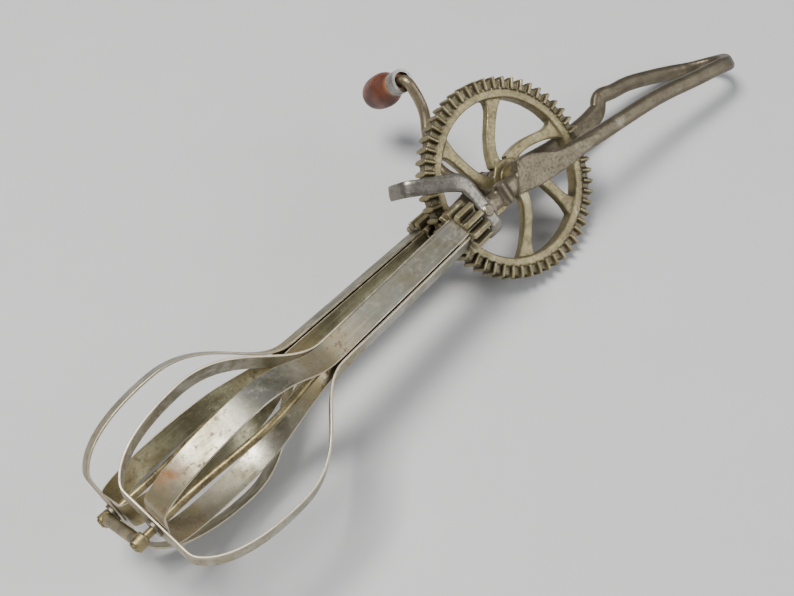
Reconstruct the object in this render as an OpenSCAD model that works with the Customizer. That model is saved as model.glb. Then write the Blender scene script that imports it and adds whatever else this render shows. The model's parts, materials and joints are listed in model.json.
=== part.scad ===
// Hand-cranked rotary egg beater: a centre wheel drives two caged dashers, one on each side.
// It is drawn upright to its own axes (x along the handle, z along the wheel's axle)
// and then laid down, the way it rests on a table.

/* [Drive wheel] */
// Outer radius of the wheel
wheel_r = 40; // [39.5:0.1:40.5]
// Number of crown teeth on each face of the wheel
wheel_teeth = 54; // [54:1:54]
// Radial length of a crown tooth
crown_tooth_l = 5; // [4:0.5:6]
// Thickness of the rim under the teeth
rim_t = 4.6; // [4.2:0.1:4.6]
// Height of a crown tooth above the rim
crown_tooth_h = 1.7; // [1.6:0.05:1.7]
// Radial width of the whole rim
rim_w = 8.2; // [7:0.2:9]
// Number of curved spokes
spoke_count = 6; // [3:1:8]
// Width of a spoke at its middle
spoke_w = 4.2; // [4:0.2:5]

/* [Pinions] */
// Distance from the wheel's middle plane to a dasher's axis
dasher_offset = 12.5; // [12.5:0.1:12.7]
// Number of teeth on a pinion
pinion_teeth = 11; // [11:1:11]
// Tip radius of a pinion
pinion_tip_r = 9.4; // [9.2:0.05:9.4]
// Length of a pinion's teeth
pinion_l = 9; // [8:0.5:9.5]

/* [Dashers] */
// Width of the steel strip
strip_w = 8.6; // [7:0.1:8.8]
// Thickness of the steel strip
strip_t = 0.9; // [0.7:0.1:1]
// Distance from a dasher's axis to the middle of its strips along the shank
shank_r = 5; // [4.95:0.05:5.3]
// Length of the shank from the pinion's middle to the waist
shank_l = 74; // [66:1:80]
// Length of the cage from the waist to its flat end
cage_l = 78; // [74:1:82]
// Greatest radius of the cage
cage_r = 28; // [27:0.5:30]
// Radius of the cage at its flat end
cage_end_r = 19; // [16:0.5:20]
// How far a dasher leans away from the wheel's plane, in degrees
dasher_lean = 2; // [1.6:0.1:2]
// How far the front dasher is skewed sideways out of true, in degrees
dasher_skew = 1.2; // [0:0.1:1.3]
// Diameter of the stationary wire that the dashers turn on
wire_d = 2.9; // [2.6:0.1:3]
// How far the wire bows outward inside the cage
wire_bow = 7; // [6:0.5:8]

/* [Crank and knob] */
// Distance from the axle to the knob's axis
crank_r = 53; // [50:0.5:54]
// Diameter of the crank rod and the axle
crank_d = 4.6; // [4.2:0.1:4.8]
// Length of the wooden knob
knob_l = 24; // [20:1:28]
// Greatest diameter of the knob
knob_d = 14.6; // [13:0.2:16]

/* [Frame] */
// Distance from the wheel's middle plane to the middle of a frame leg
leg_offset = 13.2; // [13.2:0.1:13.6]
// Thickness of a frame leg
leg_t = 4.6; // [4.2:0.2:4.8]
// Width of the frame's broad leg
leg_w = 8; // [7:0.2:9]
// Width of the handle loop's bars
bar_w = 6.8; // [6:0.2:8]
// Reach of the handle loop beyond the axle
handle_reach = 132.5; // [130:0.5:140]
// Sideways drop of the handle loop's end
handle_drop = 25.8; // [20:1:32]

/* [Resting attitude] */
// Turn about the long axis, in degrees
rest_roll = 43.43; // [20:0.01:60]
// Nose-down tilt, in degrees
rest_pitch = 1.89; // [-10:0.01:15]
// Lift that brings the lowest point to the table
rest_lift = 30.343; // [0:0.001:60]
// Shift along the long axis that centres the part
shift_x = 32.584; // [-60:0.001:60]
// Shift across the long axis that centres the part
shift_y = -18.66; // [-60:0.001:60]

/* [Hidden] */
$fn = 48;

fit = 0.05;                                   // radial clearance of a running fit
rim_in_r = wheel_r - rim_w;
rim_half = rim_t / 2;
tooth_top = rim_half + crown_tooth_h;         // height of the crown teeth over the middle plane
hub_r = 7.6;
hub_half = 8.8;                               // half length of the wheel's hub
washer_t = 0.9;
washer_r = 4.8;
pinion_x = -36;                               // where a dasher's axis meets its pinion
pinion_root_r = 6.5;
pinion_bore_r = wire_d / 2 + fit;
lean = dasher_lean;
leg_outer = leg_offset + leg_t / 2;
eye_t = 4.8;                                  // thickness of the crank's eye
eye_z = -leg_outer - 0.9;                     // face of the eye next to the frame
crank_plane = -25.2;                          // the rod's plane where it passes the back pinion
crank_bend = 3.4;                             // radius of the rod's bend into the knob
knob_z = crank_plane - 5.4;                   // the knob's near end
knob_a = 87.2;                                // direction of the crank from +x, in degrees
knob_x = crank_r * cos(knob_a);
knob_y = crank_r * sin(knob_a);
pin_d = 3.2;                                  // the rod's end, turned down inside the knob
front_psi = -58;                              // angle of each dasher's outer loop about its axis
back_psi = 89;
back_extra = 3;                               // the back cage is this much longer
front_end = shank_l + cage_l;                 // distance from a pinion to its cage's flat end
back_end = front_end + back_extra;
bar_d = 4;                                    // diameter of the bottom bar
bar_u = back_end + 3.7;                       // distance from a pinion's middle to the bottom bar
eye_half = 2.1;                               // half length of the bottom bar's eyes
foot_x = -25;                                 // middle of the frame's feet
foot_l = 6.4;

cast_iron = [0.42, 0.36, 0.27];
frame_iron = [0.36, 0.33, 0.29];
tinned_steel = [0.55, 0.54, 0.49];
bright_steel = [0.66, 0.65, 0.62];
wood_red = [0.36, 0.12, 0.06];

// ---- small helpers ----

// A point on a cubic curve through four guides.
function bezier(a, b, c, d, t) =
    a * pow(1 - t, 3) + b * 3 * t * pow(1 - t, 2) + c * 3 * t * t * (1 - t) + d * pow(t, 3);

// A smooth line through the points p, with n steps between each pair.
function through(p, n) = [
    for (i = [0 : len(p) - 2], k = [0 : n - 1])
        let (a = p[max(i - 1, 0)], b = p[i], c = p[i + 1], d = p[min(i + 2, len(p) - 1)], t = k / n)
            0.5 * (2 * b + (c - a) * t + (2 * a - 5 * b + 4 * c - d) * t * t
                + (3 * b - a - 3 * c + d) * pow(t, 3)),
    p[len(p) - 1]
];

function unit(v) = v / norm(v);

function heading(p, i) = unit(p[min(i + 1, len(p) - 1)] - p[max(i - 1, 0)]);

// The outline of a thin strip that follows the flat line p.
function ribbon(p, t) =
    let (n = [for (i = [0 : len(p) - 1]) let (h = heading(p, i)) [-h[1], h[0]] * t / 2])
        concat(
            [for (i = [0 : len(p) - 1]) p[i] + n[i]],
            [for (i = [len(p) - 1 : -1 : 0]) p[i] - n[i]]
        );

// The faces of a tube of rings, count rings of so many points each.
function skin(count, facets) = concat(
    [[for (k = [facets - 1 : -1 : 0]) k]],
    [for (i = [0 : count - 2], k = [0 : facets - 1])
        let (n = (k + 1) % facets, a = i * facets, b = a + facets) [a + k, b + n, b + k]],
    [for (i = [0 : count - 2], k = [0 : facets - 1])
        let (n = (k + 1) % facets, a = i * facets, b = a + facets) [a + k, a + n, b + n]],
    [[for (k = [0 : facets - 1]) (count - 1) * facets + k]]
);

// A bar with rounded corners that follows p. Each row is [x, y, z, width, thickness, turn].
// The width lies across the line, in the direction turn degrees round from y towards -x.
module bar(p, facets = 12) {
    count = len(p);
    pts = [
        for (i = [0 : count - 1])
            let (
                here = [p[i][0], p[i][1], p[i][2]],
                last = p[max(i - 1, 0)],
                next = p[min(i + 1, count - 1)],
                h = unit([next[0] - last[0], next[1] - last[1], next[2] - last[2]]),
                across = [-sin(p[i][5]), cos(p[i][5]), 0],
                s = unit(cross(across, h)),
                w = cross(h, s)
            )
                for (k = [0 : facets - 1])
                    let (
                        a = 360 * (k + 0.5) / facets,
                        u = sign(cos(a)) * pow(abs(cos(a)), 0.62),
                        v = sign(sin(a)) * pow(abs(sin(a)), 0.62)
                    )
                        here + w * u * p[i][3] / 2 + s * v * p[i][4] / 2
    ];
    polyhedron(pts, skin(count, facets), convexity = 8);
}

// A round rod of diameter d that follows the points p.
module round_rod(p, d, facets = 16) {
    count = len(p);
    pts = [
        for (i = [0 : count - 1])
            let (h = heading(p, i), s = unit(cross([0.31, 0.93, 0.2], h)), w = cross(h, s))
                for (k = [0 : facets - 1])
                    let (a = 360 * k / facets) p[i] + (w * cos(a) + s * sin(a)) * d / 2
    ];
    polyhedron(pts, skin(count, facets), convexity = 8);
}

// Puts the upright beater into its resting attitude.
module laid_down() {
    translate([shift_x, shift_y, rest_lift])
        rotate([0, rest_pitch, 0])
            rotate([rest_roll, 0, 0])
                children();
}

// The frame of one dasher: x along its axis, x = 0 at its pinion's middle.
module dasher_axis(side) {
    rotate([side > 0 ? 0 : 180, 0, 0])
        translate([pinion_x, 0, dasher_offset])
            rotate([0, lean, side > 0 ? dasher_skew : 0])
                children();
}

// ---- frame ----

// Middle line of the frame casting, from the front foot round the handle to the back foot.
function frame_line() = [
    [foot_x, 0, 12.2, 7, leg_t, 0],
    [-17, 0, leg_offset - 0.3, 7, leg_t, 0],
    [-9, 0.2, leg_offset - 0.3, 7.6, leg_t, 0],
    [0, -1.6, leg_offset, leg_w, leg_t, 0],
    [10, -3.6, leg_offset, leg_w, leg_t, 0],
    [22, -5.6, leg_offset, bar_w + 0.8, leg_t, 0],
    [46, -9.2, 13.2, bar_w, leg_t, 0],
    [76, -13.6, 12.8, bar_w, leg_t, 0],
    [101, -19.6, 12.6, bar_w, leg_t, 0],
    [117, -handle_drop + 2.6, 12.3, bar_w, leg_t, 0],
    [handle_reach - 8, -handle_drop + 0.4, 10.2, bar_w, leg_t, 0],
    [handle_reach - 2.3, -handle_drop, 4, bar_w, leg_t, 0],
    [handle_reach - 2.1, -handle_drop + 0.8, -4, bar_w, leg_t, 0],
    [handle_reach - 8, -handle_drop + 3.6, -10.6, bar_w, leg_t, 0],
    [116, -handle_drop + 7.8, -13, bar_w, leg_t, 0],
    [104, -13, -13, bar_w, leg_t, 0],
    [90, -7.8, -12.8, bar_w, leg_t, 5],
    [79.5, -5.6, -12.5, bar_w, leg_t, 10],
    [73.4, -3.8, -12.7, bar_w + 0.4, leg_t, 30],
    [70.2, -4.9, -12.8, bar_w + 0.6, leg_t, 62],
    [68.4, -7, -12.9, bar_w + 0.6, leg_t, 45],
    [64.6, -8.4, -13, leg_w + 0.8, leg_t, 12],
    [56, -8.9, -leg_offset, leg_w + 1, leg_t, 0],
    [39, -7.4, -leg_offset, leg_w, leg_t, 0],
    [22, -4.4, -leg_offset, leg_w, leg_t, 0],
    [10, -1.8, -leg_offset, leg_w, leg_t, 0],
    [0, 0, -leg_offset, leg_w + 1, leg_t, 0],
    [-9, 0.6, -leg_offset, 8, leg_t, 0],
    [-17, 0.2, -leg_offset, 7.2, leg_t, 0],
    [foot_x, 0, -12.2, 7, leg_t, 0]
];

// The broad flat pad of the front leg.
function pad_outline() = [
    [-10.1, -3.8], [-3.6, -5.9], [2.2, -7.2], [10, -8.3], [19.6, -9.4], [30, -9.8], [38, -8.9],
    [38, -7.4], [30, -4.6], [24, -3], [19, -1.8], [14.6, -0.2], [10.4, 2.4], [6, 4.8], [2, 6.4],
    [-2.3, 6.8]
];

// A foot holds the top of one dasher's wire.
module foot(side) {
    dasher_axis(side)
        translate([foot_x - pinion_x - foot_l / 2, -4.2, -3.4])
            cube([foot_l, 8.4, 6.2]);
}

module frame_solid() {
    bar(through(frame_line(), 3));
    for (side = [1, -1]) {
        foot(side);
        rotate([side > 0 ? 0 : 180, 0, 0])
            translate([0, 0, hub_half + washer_t + 0.2])
                cylinder(r = 4.9, h = leg_outer - hub_half - washer_t - 0.6);
    }
    translate([0, 0, leg_offset - leg_t / 2])
        linear_extrude(height = leg_t + 0.15)
            polygon(pad_outline());
    // the rounded pillar across the narrow part of the front leg
    translate([-14.7, 4.8, leg_offset + 1])
        rotate([90, 0, 0])
            cylinder(d = 5.2, h = 9);
}

module frame() {
    color(frame_iron)
        laid_down()
            difference() {
                frame_solid();
                for (side = [1, -1])
                    dasher_axis(side)
                        translate([foot_x - pinion_x - 6, 0, 0])
                            rotate([0, 90, 0])
                                cylinder(d = wire_d, h = 9.2);
                translate([0, 0, -30])
                    cylinder(d = crank_d + 2 * fit, h = 30 + leg_outer - 1.2);
                rivet_place()
                    cylinder(d = rivet_d, h = 6);
            }
}

// ---- bowl rest ----

rest_t = 2;
rest_w = 6;
rest_z = 16.2;                                // middle of the bowl rest where it is riveted
rivet_d = 2.6;
rivet_depth = 1.4;                            // how far the rivet reaches below the bowl rest

module rivet_place() {
    translate([-26.6, 0.3, rest_z - rest_t / 2 - rivet_depth])
        children();
}

function rest_line() = [
    [-26.2, -9.6, 10.6, rest_w, rest_t, -90],
    [-26.3, -8.2, 14, rest_w, rest_t, -90],
    [-26.5, -5.4, rest_z, rest_w, rest_t, -90],
    [-26.8, 1.5, rest_z, rest_w, rest_t, -85],
    [-27.4, 8, rest_z, rest_w, rest_t, -80],
    [-28.2, 13, rest_z, rest_w + 0.6, rest_t, -74],
    [-30.4, 15.8, rest_z - 0.3, rest_w + 1.4, rest_t, -52],
    [-33.6, 17.8, rest_z - 1.2, rest_w + 0.8, rest_t, -32],
    [-38.4, 20.5, rest_z - 2.8, rest_w + 0.4, rest_t, -30],
    [-43.4, 23.2, rest_z - 4.6, rest_w + 0.4, rest_t, -30],
    [-46, 24.7, rest_z - 6.4, rest_w + 0.4, rest_t, -30],
    [-46.8, 25.2, rest_z - 9.6, rest_w + 0.2, rest_t, -30],
    [-46.9, 25.3, rest_z - 16.4, rest_w, rest_t, -30]
];

module bowl_rest() {
    color(bright_steel)
        laid_down()
            difference() {
                bar(through(rest_line(), 3), 8);
                rivet_place()
                    cylinder(d = rivet_d, h = 8);
            }
}

module bowl_rest_rivet() {
    color(frame_iron)
        laid_down()
            rivet_place() {
                cylinder(d = rivet_d, h = rivet_depth + rest_t + 0.2);
                translate([0, 0, rivet_depth + rest_t + 0.2])
                    cylinder(r1 = 2.5, r2 = 1.8, h = 0.6);
            }
}

// ---- wheel, axle and crank ----

// The spokes sweep round as they near the hub.
function spoke_angle(r) = 5 + 35 * pow((wheel_r - 7 - r) / 24, 1.9);

function spoke_half_w(r) =
    spoke_w / 2 + (r > 20 ? 3.4 * pow((r - 20) / 13, 4) : 0.8 * pow((20 - r) / 13, 3));

function spoke_outline() =
    let (
        rs = [for (i = [0 : 14]) 7 + (rim_in_r + 1 - 7) * i / 14],
        mid = [for (r = rs) r * [cos(spoke_angle(r)), sin(spoke_angle(r))]],
        n = [for (i = [0 : 14]) let (h = heading(mid, i)) [-h[1], h[0]] * spoke_half_w(rs[i])]
    )
        concat(
            [for (i = [0 : 14]) mid[i] + n[i]],
            [for (i = [14 : -1 : 0]) mid[i] - n[i]]
        );

// One crown tooth, on both faces of the rim.
module crown_tooth() {
    foot_w = 1.15;
    top_w = 0.5;
    translate([wheel_r - crown_tooth_l, 0, 0])
        rotate([90, 0, 90])
            linear_extrude(height = crown_tooth_l - 0.1)
                polygon([
                    [-foot_w, rim_half - 0.4], [-top_w, tooth_top], [top_w, tooth_top],
                    [foot_w, rim_half - 0.4], [foot_w, 0.4 - rim_half], [top_w, -tooth_top],
                    [-top_w, -tooth_top], [-foot_w, 0.4 - rim_half]
                ]);
}

module drive_wheel() {
    color(cast_iron)
        laid_down()
            difference() {
                union() {
                    difference() {
                        union() {
                            translate([0, 0, -rim_half])
                                cylinder(r = wheel_r - 1.3, h = rim_t, $fn = 96);
                            translate([0, 0, -rim_half - 0.5])
                                cylinder(r = wheel_r - crown_tooth_l + 0.2, h = rim_t + 1, $fn = 96);
                        }
                        translate([0, 0, -rim_half - 1])
                            cylinder(r = rim_in_r, h = rim_t + 2, $fn = 96);
                    }
                    for (i = [0 : wheel_teeth - 1])
                        rotate([0, 0, (i + 0.5) * 360 / wheel_teeth])
                            crown_tooth();
                    for (k = [0 : spoke_count - 1])
                        rotate([0, 0, k * 360 / spoke_count])
                            translate([0, 0, -1.9])
                                linear_extrude(height = 3.8)
                                    polygon(spoke_outline());
                    translate([0, 0, -2.4])
                        cylinder(r = hub_r, h = 4.8);
                    translate([0, 0, -hub_half])
                        cylinder(r = 4.4, h = 2 * hub_half);
                }
                translate([0, 0, -20])
                    cylinder(d = crank_d, h = 40);
            }
}

module wheel_axle() {
    color(frame_iron)
        laid_down() {
            translate([0, 0, eye_z - eye_t])
                cylinder(d = crank_d, h = leg_outer - 1.4 - eye_z + eye_t);
            translate([0, 0, eye_z - eye_t - 1])
                cylinder(r1 = 2.4, r2 = 3, h = 1);
        }
}

module axle_washer(side) {
    color(tinned_steel)
        laid_down()
            translate([0, 0, side > 0 ? hub_half + 0.1 : -hub_half - 0.1 - washer_t])
                difference() {
                    cylinder(r = washer_r, h = washer_t);
                    translate([0, 0, -1])
                        cylinder(d = crank_d, h = washer_t + 2);
                }
}

module front_axle_washer() {
    axle_washer(1);
}

module back_axle_washer() {
    axle_washer(-1);
}

function crank_line() = concat(
    through([
        [-3, 3.2, eye_z - eye_t / 2 + 0.1],
        [-6, 6.6, eye_z - eye_t / 2],
        [-9.2, 13, eye_z - eye_t / 2 - 2.6],
        [-8.4, 21, crank_plane + 0.5],
        [-4.2, 29, crank_plane],
        [0.6, 37, crank_plane],
        [knob_x - 0.3, 43.5, crank_plane],
        [knob_x, knob_y - crank_bend, crank_plane]
    ], 5),
    [for (a = [15 : 15 : 90])
        [knob_x, knob_y - crank_bend * (1 - sin(a)), crank_plane - crank_bend * (1 - cos(a))]],
    [[knob_x, knob_y, knob_z + 0.15]]
);

module crank_rod() {
    color(cast_iron)
        laid_down() {
            difference() {
                union() {
                    round_rod(crank_line(), crank_d);
                    translate([0, 0, eye_z - eye_t])
                        cylinder(r = 5.6, h = eye_t);
                }
                translate([0, 0, eye_z - eye_t - 4])
                    cylinder(d = crank_d, h = 20);
            }
            // the thinner end that the knob turns on
            translate([knob_x, knob_y, knob_z - knob_l - 0.9])
                cylinder(d = pin_d, h = knob_l + 2.2);
            translate([knob_x, knob_y, knob_z - knob_l - 1.8])
                cylinder(r1 = 1.6, r2 = 2.5, h = 0.95);
        }
}

// The knob's place: its axis points away from the crank.
module knob_place() {
    laid_down()
        translate([knob_x, knob_y, knob_z])
            rotate([180, 0, 0])
                children();
}

module knob_washer() {
    color(tinned_steel)
        knob_place()
            translate([0, 0, knob_l + 0.15])
                difference() {
                    cylinder(r = 3.4, h = 0.7);
                    translate([0, 0, -1])
                        cylinder(d = pin_d, h = 3);
                }
}

neck_r = 4.2;
ferrule_lip = 2.6;                            // the ferrule stands past the wood as an open cup

function knob_outline() =
    let (n = 8, r = knob_d / 2)
        concat(
            [[pin_d / 2 + fit, 0], [neck_r, 0], [neck_r, 4]],
            [for (i = [1 : n])
                bezier([neck_r, 4], [neck_r + 0.6, 8], [r, 8], [r, knob_l * 0.58], i / n)],
            [for (i = [1 : n])
                bezier([r, knob_l * 0.58], [r, knob_l * 0.86], [r * 0.8, knob_l], [3.6, knob_l], i / n)],
            [[pin_d / 2 + fit, knob_l]]
        );

module crank_knob() {
    color(wood_red)
        knob_place()
            rotate_extrude($fn = 64)
                polygon(knob_outline());
}

module knob_ferrule() {
    color(bright_steel)
        knob_place()
            translate([0, 0, -ferrule_lip])
                difference() {
                    cylinder(r = neck_r + 0.7, h = ferrule_lip + 3.2);
                    translate([0, 0, -1])
                        cylinder(r = neck_r - 0.6, h = ferrule_lip + 6);
                    translate([0, 0, ferrule_lip])
                        cylinder(r = neck_r, h = 6);
                }
}

// ---- pinions and dashers ----

function pinion_outline() = [
    for (i = [0 : pinion_teeth - 1], k = [0 : 3])
        let (
            a = i * 360 / pinion_teeth,
            r = k == 0 || k == 3 ? pinion_root_r : pinion_tip_r,
            w = k == 0 ? -1.45 : (k == 1 ? -0.98 : (k == 2 ? 0.98 : 1.45)),
            x = sqrt(r * r - w * w)
        )
            [x * cos(a) - w * sin(a), x * sin(a) + w * cos(a)]
];

module pinion(side, turn) {
    boss = shank_r - strip_t / 2;
    color(cast_iron)
        laid_down()
            dasher_axis(side)
                difference() {
                    union() {
                        rotate([turn, 0, 0])
                            translate([-pinion_l / 2, 0, 0])
                                rotate([90, 0, 90])
                                    linear_extrude(height = pinion_l)
                                        polygon(pinion_outline());
                        translate([pinion_l / 2 - 0.5, 0, 0])
                            rotate([0, 90, 0])
                                cylinder(r = 2.4, h = 2.9);
                        rotate([90 - (side > 0 ? front_psi : back_psi), 0, 0])
                            translate([-pinion_l / 2 - 6, -boss, -boss])
                                cube([6.5, 2 * boss, 2 * boss]);
                    }
                    translate([-30, 0, 0])
                        rotate([0, 90, 0])
                            cylinder(r = pinion_bore_r, h = 60);
                }
}

module front_pinion() {
    pinion(1, -90);
}

module back_pinion() {
    pinion(-1, -90);
}

// Half of a loop, from its top beside the pinion down to the middle of its flat end.
function half_loop(end) =
    let (
        waist = -shank_l,
        wide = -shank_l - (end - shank_l) * 0.54,
        c = 3
    )
        concat(
            [[-pinion_l / 2 - 0.05, shank_r], [-20, shank_r], [-45, shank_r], [waist + 6, shank_r]],
            [for (i = [0 : 12])
                bezier([waist, shank_r + 0.1], [waist - 14, shank_r + 1],
                    [wide + 22, cage_r], [wide, cage_r], i / 12)],
            [for (i = [1 : 10])
                bezier([wide, cage_r], [wide - 15, cage_r],
                    [-end + c + 6, cage_end_r + 6], [-end + c, cage_end_r], i / 10)],
            [for (i = [1 : 5])
                bezier([-end + c, cage_end_r], [-end + 0.9, cage_end_r - 2.1],
                    [-end, cage_end_r - 3.4], [-end, cage_end_r - 6], i / 5)],
            [[-end, 0]]
        );

function whole_loop(end) =
    let (h = half_loop(end))
        concat(h, [for (i = [len(h) - 2 : -1 : 0]) [h[i][0], -h[i][1]]]);

module loop(side, psi, end) {
    color(tinned_steel)
        laid_down()
            dasher_axis(side)
                rotate([90 - psi, 0, 0])
                    difference() {
                        translate([0, 0, -strip_w / 2])
                            linear_extrude(height = strip_w)
                                polygon(ribbon(whole_loop(end), strip_t));
                        translate([-end - 5, 0, 0])
                            rotate([0, 90, 0])
                                cylinder(r = pinion_bore_r, h = 10);
                    }
}

module front_outer_loop() {
    loop(1, front_psi, front_end);
}

module front_inner_loop() {
    loop(1, front_psi + 90, front_end - strip_t - 0.1);
}

module back_outer_loop() {
    loop(-1, back_psi, back_end);
}

module back_inner_loop() {
    loop(-1, back_psi + 90, back_end - strip_t - 0.1);
}

// A washer between a cage's flat end and the bottom bar.
module end_washer(side, end) {
    color(tinned_steel)
        laid_down()
            dasher_axis(side)
                translate([-end - strip_t / 2 - 0.1 - washer_t, 0, 0])
                    rotate([0, 90, 0])
                        difference() {
                            cylinder(r = 3.4, h = washer_t);
                            translate([0, 0, -1])
                                cylinder(d = wire_d, h = 3);
                        }
}

module front_end_washer() {
    end_washer(1, front_end);
}

module back_end_washer() {
    end_washer(-1, back_end);
}

// ---- wires and bottom bar ----

function wire_line(end) =
    let (
        bow_top = -shank_l + 2,
        bow_end = -end + 10,
        mid = (bow_top + bow_end) / 2
    )
        concat(
            [[foot_x - pinion_x + foot_l / 2, 0, 0], [0, 0, 0], [bow_top + 8, 0, 0]],
            [for (i = [0 : 24])
                let (t = i / 24)
                    [bow_top + (bow_end - bow_top) * t, 0, wire_bow * (1 - cos(360 * t)) / 2]],
            [[-end + 4, 0, 0], [-bar_u - eye_half, 0, 0]]
        );

module centre_wire(side, end) {
    color(cast_iron)
        laid_down()
            dasher_axis(side) {
                round_rod(wire_line(end), wire_d);
                translate([-bar_u - eye_half - 0.7, 0, 0])
                    rotate([0, 90, 0])
                        cylinder(r1 = 1.5, r2 = 2.1, h = 0.7);
            }
}

module front_centre_wire() {
    centre_wire(1, front_end);
}

module back_centre_wire() {
    centre_wire(-1, back_end);
}

// Where the bottom bar meets the wire of one dasher.
function bar_end(side) =
    let (skew = side > 0 ? dasher_skew : 0)
        [pinion_x - bar_u * cos(lean) * cos(skew), -bar_u * cos(lean) * sin(skew),
            side * (dasher_offset + bar_u * sin(lean))];

module bottom_bar() {
    a = bar_end(-1);
    b = bar_end(1);
    d = b - a;
    color(cast_iron)
        laid_down()
            difference() {
                union() {
                    translate(a)
                        rotate([0, acos(d[2] / norm(d)), atan2(d[1], d[0])])
                            cylinder(d = bar_d, h = norm(d));
                    for (side = [1, -1])
                        dasher_axis(side)
                            translate([-bar_u - eye_half, 0, 0])
                                rotate([0, 90, 0])
                                    cylinder(r = 2.6, h = 2 * eye_half);
                }
                for (side = [1, -1])
                    dasher_axis(side)
                        translate([-bar_u - 6, 0, 0])
                            rotate([0, 90, 0])
                                cylinder(d = wire_d, h = 12);
            }
}

frame();
bowl_rest();
bowl_rest_rivet();
drive_wheel();
wheel_axle();
front_axle_washer();
back_axle_washer();
crank_rod();
knob_washer();
crank_knob();
knob_ferrule();
front_pinion();
back_pinion();
front_outer_loop();
front_inner_loop();
back_outer_loop();
back_inner_loop();
front_end_washer();
back_end_washer();
front_centre_wire();
back_centre_wire();
bottom_bar();
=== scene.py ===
import json
import math

import bmesh
import bpy
from mathutils import Matrix, Vector

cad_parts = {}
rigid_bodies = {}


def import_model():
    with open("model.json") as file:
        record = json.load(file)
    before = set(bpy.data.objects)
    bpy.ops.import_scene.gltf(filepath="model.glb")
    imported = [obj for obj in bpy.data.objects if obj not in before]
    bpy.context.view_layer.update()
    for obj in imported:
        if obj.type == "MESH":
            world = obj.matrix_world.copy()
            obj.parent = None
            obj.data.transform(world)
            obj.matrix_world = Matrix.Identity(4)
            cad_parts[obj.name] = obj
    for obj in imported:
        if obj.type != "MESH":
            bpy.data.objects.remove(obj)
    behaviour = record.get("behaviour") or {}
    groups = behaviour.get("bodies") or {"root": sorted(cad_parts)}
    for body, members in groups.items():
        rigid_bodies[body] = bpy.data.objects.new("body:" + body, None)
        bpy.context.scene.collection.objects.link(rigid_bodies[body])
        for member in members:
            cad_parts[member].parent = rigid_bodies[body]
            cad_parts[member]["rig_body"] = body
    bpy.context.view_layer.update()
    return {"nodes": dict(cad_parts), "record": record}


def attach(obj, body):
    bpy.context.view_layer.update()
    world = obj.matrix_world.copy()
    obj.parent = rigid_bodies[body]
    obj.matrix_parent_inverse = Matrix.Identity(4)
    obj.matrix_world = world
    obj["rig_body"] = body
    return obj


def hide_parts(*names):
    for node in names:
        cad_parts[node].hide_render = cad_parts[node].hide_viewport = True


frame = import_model()

# ---- the resting attitude of the part, as its own axes lie in the row frame ----
ROLL, PITCH = math.radians(43.43), math.radians(1.89)
SHIFT = Vector((32.584, -18.66, 30.343))
LAY = Matrix.Rotation(PITCH, 3, "Y") @ Matrix.Rotation(ROLL, 3, "X")


def to_row(p):
    """A point of the upright beater, in mm, as a point of the row frame in metres."""
    return (LAY @ Vector(p) + SHIFT) / 1000


# ---- the dashers' own sizes, in mm and degrees, as in the part's source ----
PINION_X, OFFSET_Z = -36, 12.5  # a pinion's middle, from the wheel's
LEAN, SKEW = 2, 1.2  # how the dashers spread, and the front one's turn sideways
STRIP_W, STRIP_T = 8.6, 0.9
CORNER_R = 0.3  # the strip's rounded edge
TOP, SHANK = -4.55, 74  # the shank's upper end, and its length down to the waist
SHANK_R, CAGE_R, END_R = 5, 28, 19  # a loop's half width at the shank, the widest place and the foot
WIDEST = 0.54  # where the loop is widest, as a share of the cage's length
FRONT_END, BACK_END = 152, 155  # each outer loop's length
FRONT_PSI, BACK_PSI = -58, 89
INNER_STEP = STRIP_T + 0.1  # how much shorter an inner loop is
WIRE_HOLE_R = 1.62

# ---- the knob's axis ----
CRANK_R, KNOB_ANGLE, KNOB_Z = 53, math.radians(87.2), -30.6


def turn(degrees, about):
    return Matrix.Rotation(math.radians(degrees), 4, about)


def dasher(side):
    """From a dasher's own axes, x along it from its pinion's middle, to the upright beater's."""
    flip = turn(0 if side > 0 else 180, "X")
    sideways = turn(SKEW if side > 0 else 0, "Z")
    return flip @ Matrix.Translation((PINION_X, 0, OFFSET_Z)) @ sideways @ turn(LEAN, "Y")


def bezier(a, b, c, d, t):
    s = 1 - t
    return tuple(
        p * s**3 + 3 * q * t * s * s + 3 * r * t * t * s + w * t**3 for p, q, r, w in zip(a, b, c, d)
    )


def half_loop(end):
    """One side of a loop: down the shank, round the cage and across to the middle of its flat end."""
    wide = -SHANK - (end - SHANK) * WIDEST
    pts = [(TOP - (TOP + SHANK - 6) * i / 12, SHANK_R) for i in range(13)]
    last = pts[-1]
    waist = (-SHANK, SHANK_R + 0.1)
    ease = (last, (last[0] - 2, SHANK_R), (-SHANK + 2, SHANK_R), waist)
    pts += [bezier(*ease, i / 4) for i in range(1, 4)]
    out = (waist, (-SHANK - 14, SHANK_R + 1), (wide + 22, CAGE_R), (wide, CAGE_R))
    pts += [bezier(*out, i / 30) for i in range(31)]
    back = ((wide, CAGE_R), (wide - 15, CAGE_R), (-end + 9, END_R + 6), (-end + 3, END_R))
    pts += [bezier(*back, i / 26) for i in range(1, 27)]
    corner = ((-end + 3, END_R), (-end + 0.9, END_R - 2.1), (-end, END_R - 3.4), (-end, END_R - 6))
    pts += [bezier(*corner, i / 10) for i in range(1, 11)]
    return pts + [(-end, (END_R - 6) * (1 - i / 4)) for i in range(1, 5)]


def on_loop(side, psi, end, index, across):
    """A point on the outer face of a loop's first side, in the row frame."""
    pts = half_loop(end)
    a, b = Vector(pts[index - 1]), Vector(pts[index + 1])
    along = (b - a).normalized()
    n = Vector((-along.y, along.x))
    if n.y < 0:
        n = -n
    proud = n * STRIP_T / 2
    p = Vector((pts[index][0] + proud.x, pts[index][1] + proud.y, across, 1))
    return to_row((dasher(side) @ turn(90 - psi, "X") @ p).to_3d())


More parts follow.
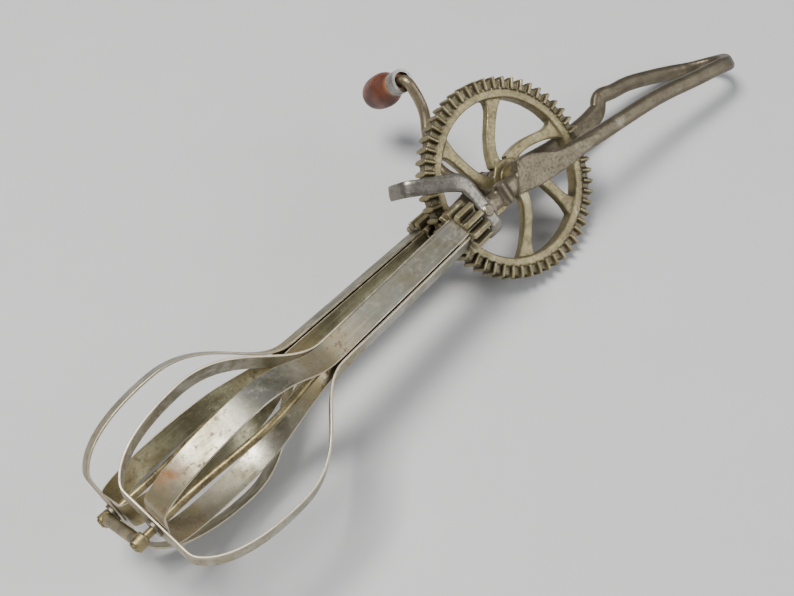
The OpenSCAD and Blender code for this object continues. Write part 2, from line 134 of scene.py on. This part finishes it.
# ---- materials ----
class Graph:
    """Builds a node tree one call at a time."""

    def __init__(self, name):
        self.mat = bpy.data.materials.new(name)
        self.mat.use_nodes = True
        self.tree = self.mat.node_tree
        self.tree.nodes.clear()
        self.out = self.new("ShaderNodeOutputMaterial")
        self.bsdf = self.new("ShaderNodeBsdfPrincipled")
        self.link(self.bsdf.outputs[0], self.out.inputs["Surface"])
        self.coord = self.new("ShaderNodeTexCoord").outputs["Object"]

    def new(self, kind, **props):
        n = self.tree.nodes.new(kind)
        for k, v in props.items():
            setattr(n, k, v)
        return n

    def link(self, a, b):
        self.tree.links.new(a, b)

    def put(self, socket, value):
        if isinstance(value, bpy.types.NodeSocket):
            self.link(value, socket)
        else:
            socket.default_value = value

    def stretch(self, scale):
        m = self.new("ShaderNodeMapping")
        m.inputs["Scale"].default_value = scale
        self.link(self.coord, m.inputs["Vector"])
        return m.outputs[0]

    def noise(self, scale, detail=4.0, rough=0.55, vector=None, distortion=0.0):
        n = self.new("ShaderNodeTexNoise")
        n.inputs["Scale"].default_value = scale
        n.inputs["Detail"].default_value = detail
        n.inputs["Roughness"].default_value = rough
        n.inputs["Distortion"].default_value = distortion
        self.link(vector or self.coord, n.inputs["Vector"])
        return n.outputs["Fac"]

    def spots(self, scale):
        n = self.new("ShaderNodeTexVoronoi")
        n.inputs["Scale"].default_value = scale
        self.link(self.coord, n.inputs["Vector"])
        return n.outputs["Distance"]

    def span(self, value, low, high, out_low=0.0, out_high=1.0):
        n = self.new("ShaderNodeMapRange", interpolation_type="SMOOTHSTEP")
        self.put(n.inputs["Value"], value)
        n.inputs["From Min"].default_value = low
        n.inputs["From Max"].default_value = high
        n.inputs["To Min"].default_value = out_low
        n.inputs["To Max"].default_value = out_high
        return n.outputs[0]

    def maths(self, op, a, b=0.0):
        n = self.new("ShaderNodeMath", operation=op)
        n.use_clamp = op in ("ADD", "MULTIPLY")
        self.put(n.inputs[0], a)
        self.put(n.inputs[1], b)
        return n.outputs[0]

    def mix(self, fac, a, b):
        n = self.new("ShaderNodeMix", data_type="RGBA")
        self.put(n.inputs["Factor"], fac)
        self.put(n.inputs["A"], (*a, 1) if isinstance(a, tuple) else a)
        self.put(n.inputs["B"], (*b, 1) if isinstance(b, tuple) else b)
        return n.outputs["Result"]

    def axis(self, direction, origin):
        """Distance in metres along a direction of the row frame from a point."""
        sub = self.new("ShaderNodeVectorMath", operation="SUBTRACT")
        self.link(self.coord, sub.inputs[0])
        sub.inputs[1].default_value = origin
        dot = self.new("ShaderNodeVectorMath", operation="DOT_PRODUCT")
        self.link(sub.outputs[0], dot.inputs[0])
        dot.inputs[1].default_value = direction
        return dot.outputs["Value"]

    def edges(self, radius):
        """1 on sharp outer edges, 0 on flats."""
        bevel = self.new("ShaderNodeBevel", samples=4)
        bevel.inputs["Radius"].default_value = radius
        geo = self.new("ShaderNodeNewGeometry")
        dot = self.new("ShaderNodeVectorMath", operation="DOT_PRODUCT")
        self.link(bevel.outputs[0], dot.inputs[0])
        self.link(geo.outputs["Normal"], dot.inputs[1])
        return self.span(dot.outputs["Value"], 0.995, 0.86)

    def cavity(self, distance, shut_at=0.4):
        """1 in hollows, 0 in the open."""
        ao = self.new("ShaderNodeAmbientOcclusion", samples=6)
        ao.inputs["Distance"].default_value = distance
        return self.span(ao.outputs["AO"], 0.95, shut_at)

    def bump(self, height, strength, distance, normal=None):
        n = self.new("ShaderNodeBump")
        n.inputs["Strength"].default_value = strength
        n.inputs["Distance"].default_value = distance
        self.link(height, n.inputs["Height"])
        if normal is not None:
            self.link(normal, n.inputs["Normal"])
        return n.outputs[0]

    def done(self, color, rough, metallic, normal, **extra):
        self.put(self.bsdf.inputs["Base Color"], color)
        self.put(self.bsdf.inputs["Roughness"], rough)
        self.put(self.bsdf.inputs["Metallic"], metallic)
        self.put(self.bsdf.inputs["Normal"], normal)
        for k, v in extra.items():
            self.bsdf.inputs[k.replace("_", " ")].default_value = v
        return self.mat


def cast_iron(name, base, dark, worn, rough, grain, wear_and_highlight, hollow_shade, metallic, shut_at=0.4):
    """Old handled cast iron: cloudy patina, painted shade in the hollows, rubbed edges that also serve
    as painted highlight, fine sand grain.
    """
    g = Graph(name)
    cloud = g.noise(160, 5)
    fleck = g.noise(900, 3, 0.65)
    sand = g.noise(2600, 2, 0.6)
    clouded = tuple(0.62 * x + 0.38 * y for x, y in zip(base, dark))
    color = g.mix(g.span(cloud, 0.3, 0.72), base, clouded)
    color = g.mix(g.maths("MULTIPLY", g.span(fleck, 0.52, 0.76), 0.4), color, dark)
    # rubbed edges and worn patches: partly real wear, partly painted highlight along the edges
    rubbed_edge_and_highlight = g.maths("MULTIPLY", g.edges(0.0006), g.span(g.noise(500, 3), 0.25, 0.6))
    patch = g.maths("MULTIPLY", g.span(g.noise(90, 4, 0.6), 0.56, 0.75), 0.35)
    wear_and_highlight_mask = g.maths("MULTIPLY", g.maths("ADD", rubbed_edge_and_highlight, patch), wear_and_highlight)
    color = g.mix(wear_and_highlight_mask, color, worn)
    # painted shade: the hollows are darkened, and made less metallic, by how shut in they are
    painted_hollow_shade = g.maths("MULTIPLY", g.cavity(0.0035, shut_at), hollow_shade)
    color = g.mix(painted_hollow_shade, color, dark)
    r = g.span(fleck, 0.3, 0.8, rough - 0.08, rough + 0.2)
    r = g.maths("SUBTRACT", r, g.maths("MULTIPLY", wear_and_highlight_mask, 0.16))
    m = g.maths("SUBTRACT", metallic, g.maths("MULTIPLY", painted_hollow_shade, 0.35))
    n = g.bump(sand, 0.35 * grain, 0.00012)
    n = g.bump(fleck, 0.5 * grain, 0.00022, n)
    n = g.bump(cloud, 0.3, 0.0004, n)
    return g.done(color, r, m, n)


# what lies on the strips: a tan film, darker towards the foot as painted shade, bare metal along the
# edges, rust, pits and painted shade in the hollows
TAN_FILM_AND_SHADE = (0.285, 0.222, 0.098)
BARE_EDGE = (0.60, 0.53, 0.40)
PATCH_RUST = (0.27, 0.105, 0.025)
PIT_DARK = (0.06, 0.04, 0.03)
HOLLOW_SHADE = (0.05, 0.045, 0.03)

# along a dasher, in metres: the film's reach at the foot and the waist, and the rust patch's radius
FOOT_FILM, WAIST_FILM, WAIST_ABOVE_FOOT, PATCH_R = 0.048, 0.022, 0.081, 0.0075


def strip_steel(name, base, dark, bright, rust, low_x, rust_amount, patch=None):
    """Tinned strip steel: rolled streaks along x, tarnish clouds, rust at the waist and the foot.

    low_x is where the foot lies in the row frame, and patch the middle of one larger rust patch."""
    g = Graph(name)
    streak = g.noise(1100, 3, 0.6, g.stretch((0.03, 1, 1)))
    cloud = g.noise(70, 5, 0.62, distortion=0.5)
    blotch = g.noise(230, 5, 0.68, distortion=0.3)
    fleck = g.noise(800, 4, 0.7)
    color = g.mix(g.span(cloud, 0.36, 0.68), base, dark)
    color = g.mix(g.maths("MULTIPLY", g.span(blotch, 0.5, 0.72), 0.4), color, dark)
    color = g.mix(g.maths("MULTIPLY", g.span(streak, 0.5, 0.74), 0.3), color, bright)
    # a tan film at the waist and towards the flat foot, its dark tone low on the strips partly painted
    # shade
    # darker towards the foot: partly a real film, partly painted shade
    low = g.span(g.axis((1, 0, 0), (low_x, 0, 0)), FOOT_FILM, 0.004)
    off_waist = g.maths("ABSOLUTE", g.axis((1, 0, 0), (low_x + WAIST_ABOVE_FOOT, 0, 0)))
    waist = g.span(off_waist, WAIST_FILM, 0.003)
    film_and_shade = g.maths("ADD", g.maths("MULTIPLY", low, 0.85), g.maths("MULTIPLY", waist, 0.9))
    film_and_shade = g.maths("MULTIPLY", film_and_shade, g.span(cloud, 0.25, 0.6, 0.55, 1.0))
    color = g.mix(g.maths("MULTIPLY", film_and_shade, rust_amount), color, TAN_FILM_AND_SHADE)
    # rust flecks and pits
    zone = g.maths("ADD", g.maths("MULTIPLY", low, 0.45), g.maths("MULTIPLY", waist, 0.6))
    zone = g.maths("ADD", zone, 0.35)
    rusty = g.maths("MULTIPLY", g.span(g.noise(420, 5, 0.72), 0.52, 0.64), zone)
    rusty = g.maths("MULTIPLY", rusty, rust_amount)
    color = g.mix(rusty, color, rust)
    if patch is not None:
        far = g.new("ShaderNodeVectorMath", operation="DISTANCE")
        g.link(g.coord, far.inputs[0])
        far.inputs[1].default_value = patch
        near = g.span(far.outputs["Value"], PATCH_R, 0.001)
        spot = g.maths("MULTIPLY", g.maths("MULTIPLY", near, g.span(blotch, 0.4, 0.6)), 0.8)
        color = g.mix(spot, color, PATCH_RUST)
        rusty = g.maths("ADD", rusty, spot)
    pits = g.maths("MULTIPLY", g.span(g.spots(560), 0.17, 0.06), g.span(g.noise(130, 3), 0.48, 0.66))
    color = g.mix(g.maths("MULTIPLY", pits, 0.75), color, PIT_DARK)
    # painted shade in the hollows
    color = g.mix(g.maths("MULTIPLY", g.cavity(0.004), 0.55), color, HOLLOW_SHADE)
    rim = g.new("ShaderNodeAttribute", attribute_name="rim").outputs["Fac"]
    rim = g.maths("MULTIPLY", g.span(rim, 0.35, 0.9), g.span(blotch, 0.3, 0.5, 0.5, 0.95))
    color = g.mix(rim, color, BARE_EDGE)
    r = g.maths("ADD", g.span(cloud, 0.3, 0.75, 0.3, 0.44), g.maths("MULTIPLY", rusty, 0.35))
    r = g.maths("ADD", r, g.maths("MULTIPLY", film_and_shade, 0.12))
    m = g.maths("SUBTRACT", 0.95, g.maths("MULTIPLY", rusty, 0.7))
    m = g.maths("SUBTRACT", m, g.maths("MULTIPLY", film_and_shade, 0.25))
    n = g.bump(streak, 0.12, 0.00008)
    n = g.bump(fleck, 0.22, 0.00008, n)
    n = g.bump(cloud, 0.14, 0.0004, n)
    return g.done(color, r, m, n)


def rod_steel(name, base, dark, bright, rough=0.42):
    """Dull round wire: tarnish clouds, bright flecks, painted shade in the hollows."""
    g = Graph(name)
    cloud = g.noise(140, 5)
    fleck = g.noise(1200, 3, 0.65)
    color = g.mix(g.span(cloud, 0.35, 0.7), base, dark)
    color = g.mix(g.maths("MULTIPLY", g.span(fleck, 0.5, 0.75), 0.5), color, bright)
    # painted shade in the hollows
    color = g.mix(g.maths("MULTIPLY", g.cavity(0.003), 0.7), color, dark)
    r = g.span(fleck, 0.3, 0.75, rough - 0.08, rough + 0.15)
    n = g.bump(fleck, 0.3, 0.0001)
    n = g.bump(cloud, 0.2, 0.0003, n)
    return g.done(color, r, 0.8, n)


def varnished_wood(name, base, dark, pale, origin, direction):
    """Turned wood under old red-brown varnish, worn paler at the neck."""
    g = Graph(name)
    along = g.axis(direction, origin)
    grain = g.noise(1500, 4, 0.6, g.stretch((0.25, 0.6, 0.6)))
    cloud = g.noise(180, 4)
    color = g.mix(g.span(cloud, 0.35, 0.7), base, dark)
    color = g.mix(g.maths("MULTIPLY", g.span(grain, 0.5, 0.72), 0.5), color, dark)
    color = g.mix(g.span(along, 0.0065, 0.0035), color, pale)
    worn = g.maths("MULTIPLY", g.span(g.noise(420, 5, 0.7), 0.6, 0.72), g.span(along, 0.016, 0.022))
    color = g.mix(g.maths("MULTIPLY", worn, 0.6), color, pale)
    r = g.span(cloud, 0.3, 0.7, 0.4, 0.54)
    n = g.bump(grain, 0.3, 0.0001)
    n = g.bump(cloud, 0.12, 0.0004, n)
    return g.done(color, r, 0.0, n, Coat_Weight=0.1, Coat_Roughness=0.4, Specular_IOR_Level=0.45)


KNOB_AXIS = LAY @ Vector((0, 0, -1))
KNOB_START = to_row((CRANK_R * math.cos(KNOB_ANGLE), CRANK_R * math.sin(KNOB_ANGLE), KNOB_Z))
# the rust patch: on the front inner loop, low on the cage, near one edge of the strip
RUST_SPOT = on_loop(1, FRONT_PSI + 90, FRONT_END - INNER_STEP, index=66, across=-3)

MATERIALS = {
    "frame_iron": cast_iron(
        "frame_iron", base=(0.152, 0.126, 0.084), dark=(0.036, 0.028, 0.018), worn=(0.46, 0.42, 0.33),
        rough=0.4, grain=0.8, wear_and_highlight=0.75, hollow_shade=0.8, metallic=0.75,
    ),
    "bright_iron": cast_iron(
        "bright_iron", base=(0.24, 0.22, 0.185), dark=(0.05, 0.042, 0.035), worn=(0.56, 0.53, 0.47),
        rough=0.36, grain=0.6, wear_and_highlight=0.8, hollow_shade=0.6, metallic=0.85,
    ),
    # on the wheel and pinions the bright worn colour is partly painted highlight on the teeth's edges
    "wheel_iron": cast_iron(
        "wheel_iron", base=(0.29, 0.242, 0.125), dark=(0.030, 0.022, 0.010), worn=(0.72, 0.66, 0.46),
        rough=0.42, grain=1.0, wear_and_highlight=1.0, hollow_shade=1.0, metallic=0.7, shut_at=0.62,
    ),
    "pinion_iron": cast_iron(
        "pinion_iron", base=(0.32, 0.268, 0.145), dark=(0.033, 0.025, 0.012), worn=(0.74, 0.68, 0.48),
        rough=0.38, grain=0.9, wear_and_highlight=1.0, hollow_shade=1.0, metallic=0.75, shut_at=0.5,
    ),
    "crank_iron": cast_iron(
        "crank_iron", base=(0.30, 0.245, 0.16), dark=(0.06, 0.042, 0.025), worn=(0.54, 0.49, 0.39),
        rough=0.4, grain=0.6, wear_and_highlight=0.7, hollow_shade=0.7, metallic=0.8,
    ),
    "rod_steel": rod_steel(
        "rod_steel", base=(0.28, 0.25, 0.2), dark=(0.08, 0.06, 0.04), bright=(0.5, 0.47, 0.42),
    ),
    "ferrule_steel": rod_steel(
        "ferrule_steel", base=(0.34, 0.33, 0.31), dark=(0.13, 0.11, 0.09), bright=(0.58, 0.56, 0.53),
        rough=0.36,
    ),
    "wire_steel": rod_steel(
        "wire_steel", base=(0.31, 0.25, 0.125), dark=(0.11, 0.085, 0.042), bright=(0.50, 0.43, 0.26),
    ),
    "front_strip": strip_steel(
        "front_strip", base=(0.52, 0.495, 0.41), dark=(0.25, 0.232, 0.155), bright=(0.84, 0.82, 0.75),
        rust=(0.10, 0.045, 0.025), low_x=-0.160, rust_amount=0.9, patch=RUST_SPOT,
    ),
    "back_strip": strip_steel(
        "back_strip", base=(0.25, 0.235, 0.15), dark=(0.12, 0.11, 0.062), bright=(0.58, 0.54, 0.42),
        rust=(0.11, 0.06, 0.03), low_x=-0.163, rust_amount=0.8,
    ),
    "knob_wood": varnished_wood(
        "knob_wood", base=(0.15, 0.042, 0.017), dark=(0.06, 0.018, 0.009), pale=(0.40, 0.16, 0.05),
        origin=KNOB_START, direction=KNOB_AXIS,
    ),
}

# ---- CAD nodes take their slot's material ----
slot_of = {s["node"]: s["material_slot"] for s in frame["record"]["subparts"]}
for node, obj in frame["nodes"].items():
    obj.data.materials.clear()
    obj.data.materials.append(MATERIALS[slot_of[node]])


def baked(obj, name, node):
    """Replaces an object's mesh by its modified one, in the node's material, and returns that mesh."""
    dg = bpy.context.evaluated_depsgraph_get()
    done = bpy.data.meshes.new_from_object(obj.evaluated_get(dg))
    obj.modifiers.clear()
    obj.data = done
    done.name = name
    done.materials.clear()
    done.materials.append(MATERIALS[slot_of[node]])
    return done


def stands_for(obj, node):
    """The piece rides with its node's body and takes the node's place."""
    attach(obj, frame["nodes"][node]["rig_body"])
    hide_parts(node)


def closed_mesh(name, verts, faces):
    mesh = bpy.data.meshes.new(name)
    mesh.from_pydata(verts, [], faces)
    bm = bmesh.new()
    bm.from_mesh(mesh)
    bmesh.ops.recalc_face_normals(bm, faces=bm.faces)
    bm.to_mesh(mesh)
    bm.free()
    return mesh


def linked(name, mesh):
    obj = bpy.data.objects.new(name, mesh)
    bpy.context.scene.collection.objects.link(obj)
    return obj


def soft_edges(obj, width):
    b = obj.modifiers.new("bevel", "BEVEL")
    b.width = width
    b.segments = 2
    b.limit_method = "ANGLE"
    b.angle_limit = math.radians(40)
    b.use_clamp_overlap = True
    b.harden_normals = False


def cast_copy(node, voxel, rounds, name, rounder=None):
    """A worn casting: the node's shape with its corners and joins rounded off.

    voxel is the remesh size in metres and rounds the smoothing passes. rounder gives a radius round
    the wheel's middle, and how many more passes the casting has within it."""
    obj = linked(name, frame["nodes"][node].data.copy())
    even = obj.modifiers.new("remesh", "REMESH")
    even.mode, even.voxel_size = "VOXEL", voxel
    soften = obj.modifiers.new("smooth", "SMOOTH")
    soften.factor, soften.iterations = 0.5, rounds
    if rounder:
        radius, extra = rounder
        first = baked(obj, name, node)
        middle = to_row((0, 0, 0))
        near = [v.index for v in first.vertices if (v.co - middle).length < radius]
        obj.vertex_groups.new(name="inner").add(near, 1.0, "REPLACE")
        soften = obj.modifiers.new("smooth", "SMOOTH")
        soften.factor, soften.iterations, soften.vertex_group = 0.5, extra, "inner"
    baked(obj, name, node).shade_smooth()
    obj.vertex_groups.clear()
    stands_for(obj, node)


def strip_section():
    """The strip's rounded cross-section: offsets through its thickness and along its width, and how
    far each point is round onto the narrow edge."""
    ring = []
    for ct, cw, start in ((1, 1, 0), (-1, 1, 90), (-1, -1, 180), (1, -1, 270)):
        for k in range(4):
            a = math.radians(start + 30 * k)
            t = ct * (STRIP_T / 2 - CORNER_R) + CORNER_R * math.cos(a)
            w = cw * (STRIP_W / 2 - CORNER_R) + CORNER_R * math.sin(a)
            ring.append((t, w, abs(math.sin(a))))
    return ring


def drill(place, end):
    """A rod through a loop's flat foot, to bore the hole for the wire."""
    ring, reach = 40, 4
    angles = [2 * math.pi * k / ring for k in range(ring)]
    rim = [(WIRE_HOLE_R * math.cos(a), WIRE_HOLE_R * math.sin(a)) for a in angles]
    spots = [(place @ Vector((-end + d, y, z, 1))).to_3d() for d in (-reach, reach) for y, z in rim]
    sides = [(k, (k + 1) % ring, ring + (k + 1) % ring, ring + k) for k in range(ring)]
    ends = [tuple(range(ring - 1, -1, -1)), tuple(range(ring, 2 * ring))]
    return linked("drill", closed_mesh("drill", [to_row(p) for p in spots], sides + ends))


def loop_piece(node, side, psi, end):
    """One bent strip of a dasher, swept along its loop, with the hole its wire passes through."""
    half = half_loop(end)
    path = [Vector(p) for p in half] + [Vector((x, -y)) for x, y in reversed(half[:-1])]
    section = strip_section()
    place = dasher(side) @ turn(90 - psi, "X")
    verts, rims, faces, count = [], [], [], len(section)
    for i, p in enumerate(path):
        along = (path[min(i + 1, len(path) - 1)] - path[max(i - 1, 0)]).normalized()
        n = Vector((-along.y, along.x))
        for t, w, rim in section:
            q = place @ Vector((p.x + n.x * t, p.y + n.y * t, w, 1))
            verts.append(to_row(q.to_3d()))
            rims.append(rim)
    for i in range(len(path) - 1):
        for k in range(count):
            a, b = i * count + k, i * count + (k + 1) % count
            faces.append((a, b, b + count, a + count))
    faces.append(tuple(range(count - 1, -1, -1)))
    faces.append(tuple(range((len(path) - 1) * count, len(path) * count)))
    mesh = closed_mesh(node + "_strip", verts, faces)
    mesh.attributes.new("rim", "FLOAT", "POINT").data.foreach_set("value", rims)
    obj = linked(node + "_strip", mesh)
    bit = drill(place, end)
    cut = obj.modifiers.new("hole", "BOOLEAN")
    cut.operation, cut.object, cut.solver = "DIFFERENCE", bit, "EXACT"
    done = baked(obj, node + "_strip", node)
    bpy.data.objects.remove(bit)
    bpy.data.meshes.remove(mesh)
    done.name = node + "_strip"
    done.shade_smooth()
    done.set_sharp_from_angle(angle=math.radians(50))
    obj.modifiers.new("even", "WEIGHTED_NORMAL").keep_sharp = True
    stands_for(obj, node)


cast_copy("frame", 0.00045, 6, "frame_casting")
cast_copy("drive_wheel", 0.00034, 3, "wheel_casting", rounder=(0.0325, 12))
cast_copy("bowl_rest", 0.0003, 3, "bowl_rest_bar")
cast_copy("crank_rod", 0.0003, 3, "crank_bar")
for n in ("front_pinion", "back_pinion"):
    cast_copy(n, 0.00028, 2, n + "_casting")
for n in ("front_centre_wire", "back_centre_wire", "bottom_bar"):
    cast_copy(n, 0.00028, 3, n + "_rod")
loop_piece("front_outer_loop", 1, FRONT_PSI, FRONT_END)
loop_piece("front_inner_loop", 1, FRONT_PSI + 90, FRONT_END - INNER_STEP)
loop_piece("back_outer_loop", -1, BACK_PSI, BACK_END)
loop_piece("back_inner_loop", -1, BACK_PSI + 90, BACK_END - INNER_STEP)
for n in ("crank_knob", "knob_ferrule"):
    soft_edges(frame["nodes"][n], 0.0003)
knob_mesh = frame["nodes"]["crank_knob"].data
knob_mesh.shade_smooth()
knob_mesh.set_sharp_from_angle(angle=math.radians(32))

# ---- floor and light ----
FLOOR_HALF = 3.0
floor_mesh = bpy.data.meshes.new("floor")
corners = [(x * FLOOR_HALF, y * FLOOR_HALF, 0) for x, y in ((-1, -1), (1, -1), (1, 1), (-1, 1))]
floor_mesh.from_pydata(corners, [], [(0, 1, 2, 3)])
floor = linked("floor", floor_mesh)
paint = Graph("floor_paint")
pale = paint.mix(paint.noise(30, 4), (0.60, 0.60, 0.60), (0.64, 0.64, 0.64))
texture = paint.bump(paint.noise(600, 2), 0.05, 0.0001)
floor_mesh.materials.append(paint.done(pale, 0.6, 0.0, texture))

world = bpy.data.worlds.new("studio")
bpy.context.scene.world = world
world.use_nodes = True
sky = world.node_tree.nodes["Background"]
sky.inputs["Color"].default_value = (0.62, 0.66, 0.72, 1)
sky.inputs["Strength"].default_value = 0.32


def area(name, place, target, size, power, color):
    """A square soft light, size metres across, that looks at a point."""
    light = bpy.data.lights.new(name, "AREA")
    light.shape = "RECTANGLE"
    light.size = light.size_y = size
    light.energy = power
    light.color = color
    lamp = linked(name, light)
    lamp.location = place
    lamp.rotation_mode = "QUATERNION"
    lamp.rotation_quaternion = (target - place).to_track_quat("-Z", "Y")


# ---- camera at the photograph's angle, given in the upright beater's axes ----
RIGHT = Vector((0.6752, -0.5645, 0.4749))
DOWN = Vector((-0.6131, -0.7874, -0.0642))
AHEAD = Vector((0.4101, -0.2478, -0.8777))
ORIGIN_SEEN = Vector((43.67, -47.34, 395.5))  # the wheel's middle from the camera, right, down, ahead
SENSOR_W, LENS = 36, 45.34005  # mm

right, up, back = (LAY @ RIGHT).normalized(), -(LAY @ DOWN).normalized(), -(LAY @ AHEAD).normalized()
attitude = Matrix((right, up, back)).transposed().to_4x4()
attitude.translation = to_row(-(Matrix((RIGHT, DOWN, AHEAD)).transposed() @ ORIGIN_SEEN))
cam_data = bpy.data.cameras.new("camera")
cam_data.sensor_width = SENSOR_W
cam_data.lens = LENS
cam_data.clip_start, cam_data.clip_end = 0.02, 20
cam = linked("camera", cam_data)
cam.matrix_world = attitude
bpy.context.scene.camera = cam

target = Vector((-0.02, -0.01, 0.02))
area("key", target - right * 0.38 + up * 0.62 + back * 0.85, target, 0.45, 17, (1.0, 0.98, 0.95))
area("fill", target + right * 0.9 + up * 0.2 + back * 0.5, target, 0.7, 6, (0.95, 0.97, 1.0))
area("front", target - right * 0.1 - up * 0.8 + back * 0.5, target, 0.6, 4, (1.0, 1.0, 1.0))
